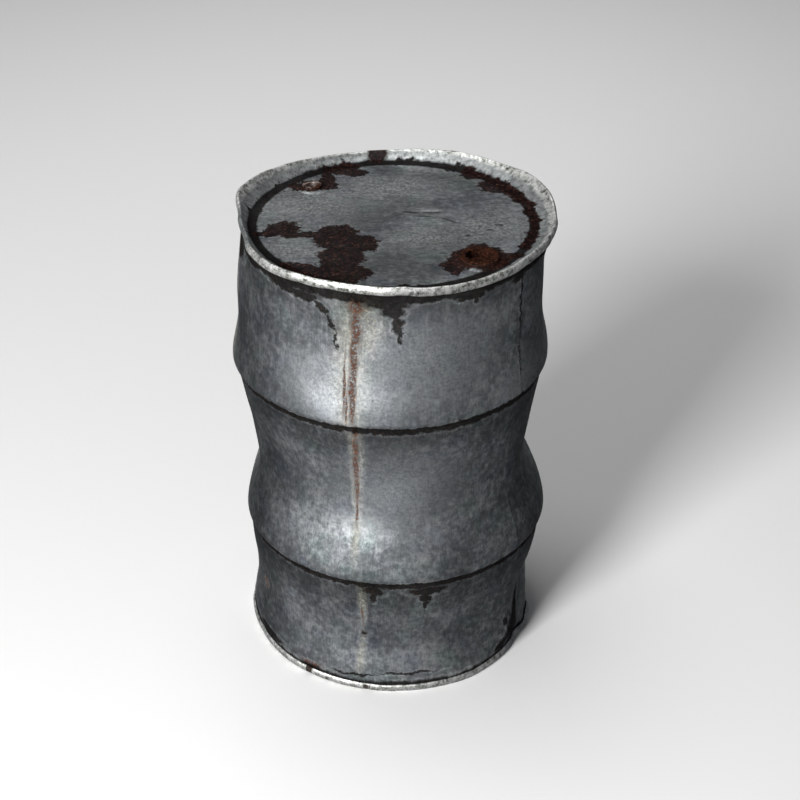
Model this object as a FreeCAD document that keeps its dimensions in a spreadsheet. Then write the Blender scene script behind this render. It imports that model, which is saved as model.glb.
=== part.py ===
"""Tight-head steel drum of about 210 litres: a rolled shell with two swaged rolling hoops, two pressed
heads joined to it by folded double seams, and two screwed bungs in the top head.

Frame: millimetres, +Z up, the origin on the floor in the middle of the bottom chime, -Y the front.
"""
import FreeCAD, Part
import math
import os
import re

import Sketcher

doc = FreeCAD.newDocument("SteelDrum")

# ---------------------------------------------------------------------------------------------
# Driving dimensions
# ---------------------------------------------------------------------------------------------

SIZES = {
    # the whole drum
    "drum_height": 880.0,
    "shell_sheet": 1.0,
    "head_sheet": 1.2,
    # the double seam, from the inside out: head wall, shell wall, cover hook, shell hook, head skirt
    "shell_inner_radius": 285.75,
    "compound_gap": 0.25,
    "hook_gap": 0.35,
    "seam_height": 16.0,
    "cover_hook_length": 11.5,
    "shell_hook_length": 12.2,
    "flange_depth": 1.8,
    "chime_round": 2.6,
    # the panel of each head
    "panel_depth": 14.0,
    "panel_radius": 262.0,
    "ramp_rise": 3.0,
    "panel_round": 5.0,
    # the shell wall between the seams: outside radius and height of each turn of the sheet
    "upper_neck_radius": 283.5,
    "upper_neck_level": 800.0,
    "upper_flare_radius": 288.0,
    "upper_flare_level": 700.0,
    "upper_hoop_radius": 298.5,
    "upper_hoop_level": 612.0,
    "upper_lip_step": 4.0,
    "lip_drop": 8.0,
    "upper_flank_radius": 279.0,
    "upper_flank_level": 530.0,
    "waist_radius": 266.0,
    "waist_top_level": 450.0,
    "waist_bottom_level": 395.0,
    "lower_rise_radius": 270.5,
    "lower_rise_level": 360.0,
    "lower_hoop_radius": 294.0,
    "lower_hoop_level": 272.0,
    "lower_lip_step": 3.5,
    "lower_flank_radius": 283.0,
    "lower_flank_level": 190.0,
    "foot_neck_radius": 274.0,
    "foot_neck_top_level": 136.0,
    "foot_neck_bottom_level": 92.0,
    "hoop_round": 14.0,
    "flank_round": 150.0,
    # where the bungs sit
    "bung_circle_radius": 212.0,
    "bung_angle": 46.5,
    "boss_rise": 2.0,
    "boss_top_margin": 1.0,
    "boss_skirt": 4.0,
    "washer_thickness": 1.0,
    "gasket_thickness": 1.6,
    "thread_clearance": 0.15,
    "thread_turns": 5.0,
    "thread_root": 0.3,
    "thread_depth": 1.0,
    "lug_root": 1.0,
    "cup_round": 0.8,
    # the 2 inch bung
    "large_thread_radius": 29.8,
    "large_core_radius": 28.4,
    "large_thread_pitch": 2.309,
    "large_neck_radius": 33.5,
    "large_neck_length": 19.0,
    "large_lip_radius": 36.5,
    "large_lip_thickness": 1.6,
    "large_base_flat": 38.0,
    "large_base_thickness": 3.0,
    "large_washer_width": 3.5,
    "large_gasket_width": 4.0,
    "large_cap_radius": 35.0,
    "large_cap_thickness": 2.2,
    "large_plug_depth": 15.0,
    "large_cup_radius": 25.5,
    "large_cup_floor": 2.5,
    "large_lug_width": 9.0,
    "large_lug_reach": 6.0,
    "large_lug_rise": 9.0,
    # the 3/4 inch bung
    "small_thread_radius": 13.2,
    "small_core_radius": 12.1,
    "small_thread_pitch": 1.814,
    "small_neck_radius": 16.2,
    "small_neck_length": 17.0,
    "small_lip_radius": 18.7,
    "small_lip_thickness": 1.5,
    "small_base_flat": 20.5,
    "small_base_thickness": 2.5,
    "small_washer_width": 2.6,
    "small_gasket_width": 3.4,
    "small_cap_radius": 18.2,
    "small_cap_thickness": 2.0,
    "small_plug_depth": 12.0,
    "small_cup_radius": 9.8,
    "small_cup_floor": 2.2,
    "small_lug_width": 4.0,
    "small_lug_reach": 3.0,
    "small_lug_rise": 6.0,
}

sheet = doc.addObject("Spreadsheet::Sheet", "Sizes")
for row, (alias, size) in enumerate(SIZES.items(), start=1):
    sheet.set(f"A{row}", alias)
    sheet.set(f"B{row}", str(size))
    sheet.setAlias(f"B{row}", alias)
doc.recompute()
SIZED = {alias: f"Sizes.{alias}" for alias in SIZES}


def cell(words):
    """An expression over the sheet's cells: every alias in words gets the sheet's name in front."""
    return re.sub(r"[a-z_]+", lambda term: SIZED.get(term.group(), term.group()), words)


def number(expression):
    """The value that an expression has now."""
    return float(sheet.evalExpression(expression))


# ---------------------------------------------------------------------------------------------
# How a piece is drawn: bodies, sketches on their own origin planes, and features
# ---------------------------------------------------------------------------------------------

def new_body(label):
    body = doc.addObject("PartDesign::Body", label)
    body.Label = label
    return body


def new_sketch(body, role, height=None):
    """A sketch on one of the body's origin planes, raised to height if one is given."""
    plane = next(feature for feature in body.Origin.OriginFeatures if feature.Role == role)
    sketch = body.newObject("Sketcher::SketchObject", body.Label + "_sketch")
    sketch.AttachmentSupport = [(plane, "")]
    sketch.MapMode = "FlatFace"
    if height is not None:
        sketch.setExpression(".AttachmentOffset.Base.z", height)
    doc.recompute()
    return sketch


def bind_point(sketch, geometry, point, across, up):
    """Ties a point of the sketch to two expressions, its distances across and up from the origin."""
    for kind, expression in (("DistanceX", across), ("DistanceY", up)):
        here = sketch.addConstraint(Sketcher.Constraint(kind, -1, 1, geometry, point, number(expression)))
        sketch.setExpression(f"Constraints[{here}]", expression)


def draw_outline(sketch, corners):
    """A closed outline of straight runs, each corner tied to its (across, up) expressions."""
    places = [FreeCAD.Vector(number(across), number(up), 0) for across, up in corners]
    for start, end in zip(places, places[1:] + places[:1]):
        sketch.addGeometry(Part.LineSegment(start, end), False)
    for line in range(len(corners)):
        following = (line + 1) % len(corners)
        sketch.addConstraint(Sketcher.Constraint("Coincident", line, 2, following, 1))
    for line, (across, up) in enumerate(corners):
        bind_point(sketch, line, 1, across, up)


def draw_circle(sketch, radius, across="0", up="0"):
    """A circle of that radius, centred at the expressions across and up."""
    centre = FreeCAD.Vector(number(across), number(up), 0)
    circle = sketch.addGeometry(Part.Circle(centre, FreeCAD.Vector(0, 0, 1), number(radius)), False)
    if number(across) == 0 and number(up) == 0:
        sketch.addConstraint(Sketcher.Constraint("Coincident", circle, 3, -1, 1))
    else:
        bind_point(sketch, circle, 3, across, up)
    size = sketch.addConstraint(Sketcher.Constraint("Radius", circle, number(radius)))
    sketch.setExpression(f"Constraints[{size}]", radius)


def revolve(body, corners):
    """The body's first feature: an outline in the XZ plane turned once round the Z axis."""
    sketch = new_sketch(body, "XZ_Plane")
    draw_outline(sketch, corners)
    turned = body.newObject("PartDesign::Revolution", body.Label + "_turned")
    turned.Profile = sketch
    turned.ReferenceAxis = (sketch, ["V_Axis"])
    turned.Angle = 360
    doc.recompute()
    return turned


def extrude(body, kind, sketch, length, taper=None, downwards=False):
    """A Pad or Pocket of a sketch along the Z axis, with an optional draft."""
    feature = body.newObject("PartDesign::" + kind, f"{body.Label}_{kind.lower()}")
    feature.Profile = sketch
    feature.setExpression("Length", length)
    # a Pocket runs against its sketch's normal unless it is reversed, and a Pad along it
    feature.Reversed = downwards if kind == "Pad" else not downwards
    if taper is not None:
        feature.setExpression("TaperAngle", taper)
    doc.recompute()
    return feature


def rings_at(shape, places):
    """The names of the circular edges at the given (radius, height) expressions."""
    wanted = [(number(radius), number(height)) for radius, height in places]
    found = []
    for index, edge in enumerate(shape.Edges, start=1):
        if not isinstance(edge.Curve, Part.Circle):
            continue
        here = (edge.Curve.Radius, edge.Curve.Center.z)
        if any(math.dist(here, place) < 0.05 for place in wanted):
            found.append(f"Edge{index}")
    if len(found) < len(wanted):
        raise RuntimeError(f"only {len(found)} of {len(wanted)} edges found to round")
    return found


def round_rings(body, radius, places):
    """Rounds the circular edges at the given (radius, height) expressions of the body's tip."""
    base = body.Tip
    fillet = body.newObject("PartDesign::Fillet", body.Label + "_round")
    fillet.Base = (base, rings_at(base.Shape, places))
    fillet.setExpression("Radius", radius)
    doc.recompute()
    return fillet


# ---------------------------------------------------------------------------------------------
# The double seam, shared by the shell and both heads: radii of its five layers of sheet
# ---------------------------------------------------------------------------------------------

SHELL_IN = cell("shell_inner_radius")
SHELL_OUT = cell("shell_inner_radius + shell_sheet")
WALL_OUT = cell("shell_inner_radius - compound_gap")
WALL_IN = f"{WALL_OUT} - {cell('head_sheet')}"
COVER_IN = f"{SHELL_OUT} + {cell('hook_gap')}"
COVER_OUT = f"{COVER_IN} + {cell('head_sheet')}"
HOOK_IN = f"{COVER_OUT} + {cell('hook_gap')}"
HOOK_OUT = f"{HOOK_IN} + {cell('shell_sheet')}"
SKIRT_IN = f"{HOOK_OUT} + {cell('hook_gap')}"
SKIRT_OUT = f"{SKIRT_IN} + {cell('head_sheet')}"


def from_end(top, words):
    """The height of what lies a depth, in the sheet's words, inside the top or the bottom of the drum."""
    depth = cell(words)
    return f"{cell('drum_height')} - ({depth})" if top else depth


# ---------------------------------------------------------------------------------------------
# The shell: one rolled and welded sheet, flanged over at both ends into the seams
# ---------------------------------------------------------------------------------------------

def hook(top, rising):
    """The flange and hook at one end of the shell, from its wall's inside to its outside or back."""
    path = [
        (SHELL_IN, from_end(top, "flange_depth")),
        (HOOK_OUT, from_end(top, "flange_depth")),
        (HOOK_OUT, from_end(top, "flange_depth + shell_hook_length")),
        (HOOK_IN, from_end(top, "flange_depth + shell_hook_length")),
        (HOOK_IN, from_end(top, "flange_depth + shell_sheet")),
        (SHELL_OUT, from_end(top, "flange_depth + shell_sheet")),
    ]
    return path if rising else path[::-1]


# each turn of the wall between the seams, from the top down: (outside radius, level)
WALL_TURNS = [
    ("shell_inner_radius + shell_sheet", "drum_height - 1.5 * seam_height"),
    ("upper_neck_radius", "upper_neck_level"),
    ("upper_flare_radius", "upper_flare_level"),
    ("upper_hoop_radius", "upper_hoop_level"),
    ("upper_hoop_radius - upper_lip_step", "upper_hoop_level - lip_drop"),
    ("upper_flank_radius", "upper_flank_level"),
    ("waist_radius", "waist_top_level"),
    ("waist_radius", "waist_bottom_level"),
    ("lower_rise_radius", "lower_rise_level"),
    ("lower_hoop_radius", "lower_hoop_level"),
    ("lower_hoop_radius - lower_lip_step", "lower_hoop_level - lip_drop"),
    ("lower_flank_radius", "lower_flank_level"),
    ("foot_neck_radius", "foot_neck_top_level"),
    ("foot_neck_radius", "foot_neck_bottom_level"),
    ("shell_inner_radius + shell_sheet", "1.5 * seam_height"),
]
HOOP_TURNS = (3, 4, 9, 10)

outer_wall = [(cell(radius), cell(level)) for radius, level in WALL_TURNS]
inner_wall = [(f"{radius} - {cell('shell_sheet')}", level) for radius, level in outer_wall]

shell = new_body("body_shell")
revolve(shell, hook(True, True) + outer_wall + hook(False, False) + inner_wall[::-1])
hoop_edges = [wall[turn] for wall in (outer_wall, inner_wall) for turn in HOOP_TURNS]
flank_edges = [
    wall[turn]
    for wall in (outer_wall, inner_wall)
    for turn in range(len(WALL_TURNS))
    if turn not in HOOP_TURNS
]
for top in (True, False):
    bends = [(radius, from_end(top, "flange_depth")) for radius in (SHELL_IN, HOOK_OUT)]
    round_rings(shell, cell("shell_sheet"), bends)
round_rings(shell, cell("hoop_round"), hoop_edges)
round_rings(shell, cell("flank_round"), flank_edges)


# ---------------------------------------------------------------------------------------------
# The heads: pressed discs whose rims fold over the shell's hooks and make the chimes
# ---------------------------------------------------------------------------------------------

def make_head(label, top):
    """One pressed head: sunken panel, ramp, countersink wall, chime, skirt and cover hook."""
    def at(words):
        return from_end(top, words)

    body = new_body(label)
    revolve(body, [
        ("0", at("panel_depth")),
        (cell("panel_radius"), at("panel_depth")),
        (WALL_IN, at("panel_depth - ramp_rise")),
        (WALL_IN, at("0")),
        (SKIRT_OUT, at("0")),
        (SKIRT_OUT, at("seam_height")),
        (COVER_IN, at("seam_height")),
        (COVER_IN, at("seam_height - cover_hook_length")),
        (COVER_OUT, at("seam_height - cover_hook_length")),
        (COVER_OUT, at("seam_height - head_sheet")),
        (SKIRT_IN, at("seam_height - head_sheet")),
        (SKIRT_IN, at("head_sheet")),
        (WALL_OUT, at("head_sheet")),
        (WALL_OUT, at("panel_depth - ramp_rise + head_sheet")),
        (cell("panel_radius"), at("panel_depth + head_sheet")),
        ("0", at("panel_depth + head_sheet")),
    ])
    round_rings(body, cell("chime_round"), [(WALL_IN, at("0")), (SKIRT_OUT, at("0"))])
    round_rings(body, cell("head_sheet"), [
        (SKIRT_IN, at("head_sheet")),
        (WALL_OUT, at("head_sheet")),
        (SKIRT_OUT, at("seam_height")),
        (COVER_IN, at("seam_height")),
    ])
    round_rings(body, cell("panel_round"), [
        (WALL_IN, at("panel_depth - ramp_rise")),
        (WALL_OUT, at("panel_depth - ramp_rise + head_sheet")),
    ])
    return body


top_head = make_head("top_head", True)
bottom_head = make_head("bottom_head", False)


# ---------------------------------------------------------------------------------------------
# The sealing compound: a ring of rubbery paste caught between the head's fold and the shell's flange
# ---------------------------------------------------------------------------------------------

def make_compound(label, top):
    def at(words):
        return from_end(top, words)

    body = new_body(label)
    revolve(body, [
        (WALL_OUT, at("3 * head_sheet")),
        (WALL_OUT, at("head_sheet")),
        (SKIRT_IN, at("head_sheet")),
        (SKIRT_IN, at("seam_height - 2 * head_sheet")),
        (HOOK_OUT, at("seam_height - 2 * head_sheet")),
        (HOOK_OUT, at("flange_depth")),
        (SHELL_IN, at("flange_depth")),
        (SHELL_IN, at("3 * head_sheet")),
    ])
    round_rings(body, cell("head_sheet"), [(WALL_OUT, at("head_sheet")), (SKIRT_IN, at("head_sheet"))])
    round_rings(body, cell("shell_sheet"), [(HOOK_OUT, at("flange_depth")), (SHELL_IN, at("flange_depth"))])
    return body


top_seam_compound = make_compound("top_seam_compound", True)
bottom_seam_compound = make_compound("bottom_seam_compound", False)


# ---------------------------------------------------------------------------------------------
# The closures: each a steel flange clinched into a raised boss of the top head, a washer under the
# boss, a cup-shaped screwed bung with two wrench lugs, and the gasket that seals under its rim
# ---------------------------------------------------------------------------------------------

PANEL_TOP = from_end(True, "panel_depth")
BOSS_TOP = f"{PANEL_TOP} + {cell('boss_rise')}"
BOSS_UNDER = f"{BOSS_TOP} - {cell('head_sheet')}"


def closure_place(size):
    """Expressions for the closure's centre: the small bung sits diametrically across from the large one."""
    side = "" if size == "large" else "-1 * "
    angle = f"{cell('bung_angle')} * 1 deg"
    across = f"{side}{cell('bung_circle_radius')} * sin({angle})"
    along = f"{side}-1 * {cell('bung_circle_radius')} * cos({angle})"
    return across, along


def place_closure(body, size):
    across, along = closure_place(size)
    body.setExpression(".Placement.Base.x", across)
    body.setExpression(".Placement.Base.y", along)


def press_boss(size):
    """Raises the boss in the top head and pierces it for the flange's neck."""
    across, along = closure_place(size)
    base_radius = cell(f"{size}_base_flat / cos(22.5 deg) + boss_top_margin + boss_skirt")
    hole_radius = cell(f"{size}_neck_radius + hook_gap")
    steps = [
        ("Pad", PANEL_TOP, base_radius, cell("boss_rise"), True),
        ("Pocket", f"{PANEL_TOP} - {cell('head_sheet')}", base_radius, cell("boss_rise"), True),
        ("Pocket", f"{PANEL_TOP} - {cell('head_sheet')}", hole_radius, cell("3 * boss_rise"), False),
    ]
    for kind, level, radius, rise, drafted in steps:
        sketch = new_sketch(top_head, "XY_Plane", level)
        draw_circle(sketch, radius, across, along)
        taper = cell("-1 * atan(boss_skirt / boss_rise)") if drafted else None
        extrude(top_head, kind, sketch, rise, taper)


def wind_thread(body, kind, size, root, crest, foot):
    """One thread wound up from its foot: a ridge added from root out to crest, or a groove cut as deep."""
    pitch = cell(f"{size}_thread_pitch")
    sketch = new_sketch(body, "XZ_Plane")
    draw_outline(sketch, [
        (root, f"{foot} + 0.10 * {pitch}"),
        (crest, f"{foot} + 0.42 * {pitch}"),
        (crest, f"{foot} + 0.58 * {pitch}"),
        (root, f"{foot} + 0.90 * {pitch}"),
    ])
    thread = body.newObject(f"PartDesign::{kind}Helix", body.Label + "_thread")
    thread.Profile = sketch
    thread.ReferenceAxis = (sketch, ["V_Axis"])
    thread.Mode = "pitch-turns-angle"
    thread.setExpression("Pitch", pitch)
    thread.setExpression("Turns", cell("thread_turns"))
    doc.recompute()


def make_flange(size):
    """The threaded steel insert: octagonal base under the head, neck through it, lip curled over it."""
    body = new_body(f"{size}_bung_flange")
    lip_top = f"{BOSS_TOP} + {cell(size + '_lip_thickness')}"
    neck = cell(f"{size}_neck_radius")
    bore = cell(f"{size}_thread_radius + thread_clearance")
    foot = f"{lip_top} - {cell(size + '_neck_length')}"
    revolve(body, [
        (bore, foot),
        (neck, foot),
        (neck, BOSS_TOP),
        (cell(f"{size}_lip_radius"), BOSS_TOP),
        (cell(f"{size}_lip_radius"), lip_top),
        (bore, lip_top),
    ])
    base_top = f"{BOSS_UNDER} - {cell('washer_thickness')}"
    sketch = new_sketch(body, "XY_Plane", base_top)
    corner = cell(f"{size}_base_flat / cos(22.5 deg)")
    corners = []
    for step in range(8):
        turn = f"{45 * step + 22.5} deg"
        corners.append((f"{corner} * cos({turn})", f"{corner} * sin({turn})"))
    draw_outline(sketch, corners)
    draw_circle(sketch, bore)
    extrude(body, "Pad", sketch, cell(f"{size}_base_thickness"), downwards=True)
    wind_thread(
        body,
        "Subtractive",
        size,
        f"{bore} - {cell('thread_root')}",
        f"{bore} + {cell('thread_depth')}",
        f"{lip_top} + {cell(f'gasket_thickness - {size}_plug_depth - {size}_thread_pitch')}",
    )
    place_closure(body, size)
    return body


def make_ring(label, size, inner, width, foot, thickness):
    """A flat rubber ring of the closure."""
    body = new_body(label)
    revolve(body, [
        (inner, foot),
        (f"{inner} + {width}", foot),
        (f"{inner} + {width}", f"{foot} + {thickness}"),
        (inner, f"{foot} + {thickness}"),
    ])
    place_closure(body, size)
    return body


def make_bung(size):
    """The screwed bung: a pressed steel cup with a rim, an outside thread and two wrench lugs."""
    body = new_body(f"{size}_bung_plug")
    lip_top = f"{BOSS_TOP} + {cell(size + '_lip_thickness')}"
    rim_under = f"{lip_top} + {cell('gasket_thickness')}"
    rim_top = f"{rim_under} + {cell(size + '_cap_thickness')}"
    foot = f"{rim_under} - {cell(size + '_plug_depth')}"
    floor_top = f"{foot} + {cell(size + '_cup_floor')}"
    core = cell(f"{size}_core_radius")
    cap = cell(f"{size}_cap_radius")
    cup = cell(f"{size}_cup_radius")
    revolve(body, [
        ("0", foot),
        (core, foot),
        (core, rim_under),
        (cap, rim_under),
        (cap, rim_top),
        (cup, rim_top),
        (cup, floor_top),
        ("0", floor_top),
    ])
    round_rings(body, cell("cup_round"), [(cap, rim_top), (cup, rim_top), (core, foot)])
    lug_half = f"{cell(size + '_lug_width')} / 2"
    lug_tip = f"{cup} - {cell(size + '_lug_reach')}"
    sketch = new_sketch(body, "XY_Plane", floor_top)
    draw_outline(sketch, [
        (lug_tip, f"-1 * {lug_half}"),
        (f"{cup} + {cell('lug_root')}", f"-1 * {lug_half}"),
        (f"{cup} + {cell('lug_root')}", lug_half),
        (lug_tip, lug_half),
    ])
    lug = extrude(body, "Pad", sketch, cell(f"{size}_lug_rise"))
    pattern = body.newObject("PartDesign::PolarPattern", body.Label + "_lugs")
    pattern.Originals = [lug]
    pattern.Axis = (sketch, ["N_Axis"])
    pattern.Angle = 360
    pattern.Occurrences = 2
    body.Tip = pattern
    doc.recompute()
    wind_thread(
        body,
        "Additive",
        size,
        f"{core} - {cell('thread_root')}",
        cell(f"{size}_thread_radius"),
        foot,
    )
    place_closure(body, size)
    return body


closures = []
for size in ("large", "small"):
    press_boss(size)
    neck = cell(f"{size}_neck_radius")
    thread = cell(f"{size}_thread_radius")
    lip_top = f"{BOSS_TOP} + {cell(size + '_lip_thickness')}"
    closures += [
        make_flange(size),
        make_ring(
            f"{size}_flange_washer",
            size,
            f"{neck} + {cell('hook_gap')}",
            cell(f"{size}_washer_width"),
            f"{BOSS_UNDER} - {cell('washer_thickness')}",
            cell("washer_thickness"),
        ),
        make_ring(
            f"{size}_bung_gasket",
            size,
            f"{thread} + {cell('hook_gap')}",
            cell(f"{size}_gasket_width"),
            lip_top,
            cell("gasket_thickness"),
        ),
        make_bung(size),
    ]


# ---------------------------------------------------------------------------------------------
# Checks, then one STEP file for each piece
# ---------------------------------------------------------------------------------------------

doc.recompute()
for thing in doc.Objects:
    if {"Invalid", "Error"} & set(thing.State):
        raise RuntimeError(f"{thing.Label} failed: {thing.State}")

pieces = [shell, top_head, bottom_head, top_seam_compound, bottom_seam_compound] + closures
os.makedirs("parts", exist_ok=True)
for piece in pieces:
    shape = piece.Shape
    if shape.isNull() or not shape.isValid() or len(shape.Solids) != 1:
        raise RuntimeError(f"{piece.Label} isn't one valid solid")
    shape.exportStep(f"parts/{piece.Label}.step")
    print(f"{piece.Label}: {shape.Volume / 1000:.2f} cm3")
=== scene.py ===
"""A worn tight-head steel drum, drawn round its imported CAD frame."""
import math
import random

import bmesh
import bpy
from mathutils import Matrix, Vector


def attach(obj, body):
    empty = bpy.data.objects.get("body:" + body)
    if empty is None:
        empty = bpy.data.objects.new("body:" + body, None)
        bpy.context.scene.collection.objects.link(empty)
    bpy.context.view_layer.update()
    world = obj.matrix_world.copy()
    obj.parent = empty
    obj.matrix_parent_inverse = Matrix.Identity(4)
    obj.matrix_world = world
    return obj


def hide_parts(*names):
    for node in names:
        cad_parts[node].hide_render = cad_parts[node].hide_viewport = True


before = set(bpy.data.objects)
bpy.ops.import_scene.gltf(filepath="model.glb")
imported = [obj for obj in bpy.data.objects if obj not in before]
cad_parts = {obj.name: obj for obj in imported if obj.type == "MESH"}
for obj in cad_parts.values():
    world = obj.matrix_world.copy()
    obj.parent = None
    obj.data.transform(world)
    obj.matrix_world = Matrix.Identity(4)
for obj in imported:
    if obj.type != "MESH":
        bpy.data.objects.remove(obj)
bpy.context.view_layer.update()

MM = 0.001


# ---------------------------------------------------------------------------------------------
# The floor, lights and camera
# A pale seamless floor, one broad soft key light low at the front left, and a dim grey sky.
# ---------------------------------------------------------------------------------------------

def linear(code):
    """An sRGB hex colour as the linear red, green, blue and alpha that a shader takes."""
    parts = [int(code[at:at + 2], 16) / 255 for at in (1, 3, 5)]
    return tuple(p / 12.92 if p <= 0.04045 else ((p + 0.055) / 1.055) ** 2.4 for p in parts) + (1.0,)


def add(tree, kind, inputs=None, stops=(), **settings):
    """Adds a node with its settings and links: an input takes a value, another node's output, or a
    whole node for its first output, and a colour ramp takes stops of a place and a hex colour."""
    node = tree.nodes.new(kind)
    for name, value in settings.items():
        setattr(node, name, value)
    for socket, value in (inputs or {}).items():
        if isinstance(value, bpy.types.Node):
            value = value.outputs[0]
        if isinstance(value, bpy.types.NodeSocket):
            tree.links.new(value, node.inputs[socket])
        else:
            node.inputs[socket].default_value = value
    if stops:
        ramp = node.color_ramp.elements
        while len(ramp) < len(stops):
            ramp.new(0.5)
        for stop, (place, colour) in zip(ramp, stops):
            stop.position = place
            stop.color = linear(colour)
    return node


def new_material(name):
    """An empty node material with one shader wired to its output."""
    material = bpy.data.materials.new(name)
    material.use_nodes = True
    tree = material.node_tree
    tree.nodes.clear()
    shader = add(tree, "ShaderNodeBsdfPrincipled")
    add(tree, "ShaderNodeOutputMaterial", {"Surface": shader.outputs["BSDF"]})
    return material, tree, shader


camera_data = bpy.data.cameras.new("camera")
camera_data.lens = 85.43
camera_data.sensor_width = 36
camera = bpy.data.objects.new("camera", camera_data)
camera.location = (0.0128, -3.1234, 2.4143)
camera.rotation_euler = (math.radians(90 - 31.72), 0, 0)
bpy.context.collection.objects.link(camera)
bpy.context.scene.camera = camera
bpy.context.scene.view_settings.view_transform = "Standard"

# matt painted floor: no pattern, only a very soft sheen
floor_paint, tree, shader = new_material("matt_white_floor_paint")
shader.inputs["Base Color"].default_value = linear("#e4e4e3")
shader.inputs["Roughness"].default_value = 0.9
shader.inputs["Specular IOR Level"].default_value = 0.2
bpy.ops.object.select_all(action="DESELECT")
bpy.ops.mesh.primitive_plane_add(size=60)
floor = bpy.context.object
floor.name = "floor"
floor.data.materials.append(floor_paint)
floor.visible_glossy = False

world = bpy.data.worlds.new("studio")
world.use_nodes = True
world.node_tree.nodes["Background"].inputs["Color"].default_value = linear("#c9cbcf")
world.node_tree.nodes["Background"].inputs["Strength"].default_value = 0.16
bpy.context.scene.world = world

LIGHTS = [
    # name, place, aim, size, watts; the last one lights only the floor behind the drum
    ("key", (-3.95, -5.9, 4.35), (0, 0, 0.45), 2.4, 765),
    ("low", (-1.95, -3.4, 1.1), (0, 0, 0.45), 1.1, 86),
    ("top", (-0.6, 0.9, 5.2), (0, 0, 0.45), 2.4, 92),
    ("backdrop", (0.2, 2.9, 2.6), (0.2, 4.7, 0), 2.8, 17),
]
for name, place, aim, size, watts in LIGHTS:
    lamp = bpy.data.lights.new(name, "AREA")
    lamp.size = size
    lamp.energy = watts
    light = bpy.data.objects.new(name, lamp)
    light.location = place
    light.rotation_euler = (Vector(aim) - Vector(place)).to_track_quat("-Z", "Y").to_euler()
    bpy.context.collection.objects.link(light)


# ---------------------------------------------------------------------------------------------
# The shell
# One sheet of 1 mm mild steel, rolled into a tube and welded up the side. Two hoops are swaged out
# of it for rolling, and both ends are turned over into hooks that the heads fold round.
# ---------------------------------------------------------------------------------------------

AROUND = 150
SHELL_SHEET = 1.0
SHELL_RADIUS = 285

SHELL_WALL = [  # outside radius and height of each ring, in mm, from the top hook's end down
    (289.6, 866), (289.6, 876), (288.8, 877.8), (287.4, 877.8), (286.7, 876), (286.6, 866),
    (286.2, 858), (285.2, 846), (284.2, 830), (283.6, 812), (283.4, 794), (283.8, 774), (284.9, 754),
    (286.3, 734), (288.0, 714), (290.0, 694), (292.2, 674), (294.4, 655), (296.4, 638), (297.8, 625),
    (298.6, 616), (298.8, 611), (298.2, 607), (296.4, 603.8), (293.4, 601.6), (291.0, 599), (290.0, 595),
    (289.4, 588), (287.8, 575), (285.0, 559), (281.4, 541), (277.2, 522), (273.0, 502), (269.4, 482),
    (266.8, 462), (265.2, 442), (264.6, 422), (265.0, 403), (266.6, 385), (269.6, 368), (274.0, 351),
    (279.2, 335), (284.0, 319), (288.2, 303), (291.4, 288), (293.2, 276), (294.0, 268), (293.8, 263),
    (292.6, 259.4), (290.2, 256.8), (287.8, 254.6), (286.8, 251), (286.6, 245), (286.4, 234),
    (285.4, 218), (283.4, 201), (280.8, 183), (278.0, 164), (275.6, 145), (274.2, 126), (274.0, 108),
    (275.2, 91), (277.6, 75), (280.6, 59), (283.4, 44), (285.4, 30), (286.4, 20), (286.6, 14),
    (286.7, 4), (287.4, 2.2), (288.8, 2.2), (289.6, 4), (289.6, 14),
]
WELD_AZIMUTH = 52.8  # degrees round from the front to the right
WELD_WIDTH = 5.0
WELD_RISE = 1.3


def raise_rings(name, rings, around=AROUND, centre=(0, 0)):
    """A circle extruded ring by ring into a turned sheet; each ring is a radius and height in mm."""
    bpy.ops.object.select_all(action="DESELECT")
    radius, height = rings[0]
    middle = (centre[0] * MM, centre[1] * MM, height * MM)
    bpy.ops.mesh.primitive_circle_add(vertices=around, radius=radius * MM, location=middle)
    piece = bpy.context.object
    piece.name = name
    bpy.ops.object.transform_apply(location=True, rotation=True, scale=True)
    bpy.ops.object.mode_set(mode="EDIT")
    bpy.ops.mesh.select_all(action="SELECT")
    for (old_radius, old_height), (new_radius, new_height) in zip(rings, rings[1:]):
        rise = (0, 0, (new_height - old_height) * MM)
        bpy.ops.mesh.extrude_edges_move(TRANSFORM_OT_translate={"value": rise})
        share = new_radius / old_radius
        middle = (centre[0] * MM, centre[1] * MM, new_height * MM)
        bpy.ops.transform.resize(value=(share, share, 1), center_override=middle)
    bpy.ops.object.mode_set(mode="OBJECT")
    return piece


def face_outwards(piece, sample, towards):
    """Makes the sheet's faces point one way: the face nearest to sample (mm) ends up facing towards."""
    bpy.ops.object.select_all(action="DESELECT")
    piece.select_set(True)
    bpy.context.view_layer.objects.active = piece
    bpy.ops.object.mode_set(mode="EDIT")
    bpy.ops.mesh.select_all(action="SELECT")
    bpy.ops.mesh.normals_make_consistent(inside=False)
    sheet = bmesh.from_edit_mesh(piece.data)
    spot = Vector(sample) * MM
    nearest = min(sheet.faces, key=lambda face: (face.calc_center_median() - spot).length)
    if nearest.normal.dot(Vector(towards)) < 0:
        bpy.ops.mesh.flip_normals()
    bpy.ops.object.mode_set(mode="OBJECT")


def azimuth_of(point):
    """Degrees round the drum: 0 at the front, growing to the right."""
    return math.degrees(math.atan2(point.x, -point.y))


def place_at(azimuth, radius, height):
    """A point in mm from its azimuth, its distance from the drum's axis and its height."""
    turn = math.radians(azimuth)
    return Vector((radius * math.sin(turn), -radius * math.cos(turn), height))


shell = raise_rings("shell_sheet", SHELL_WALL)
face_outwards(shell, (0, -284, 794), (0, -1, 0))

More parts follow.
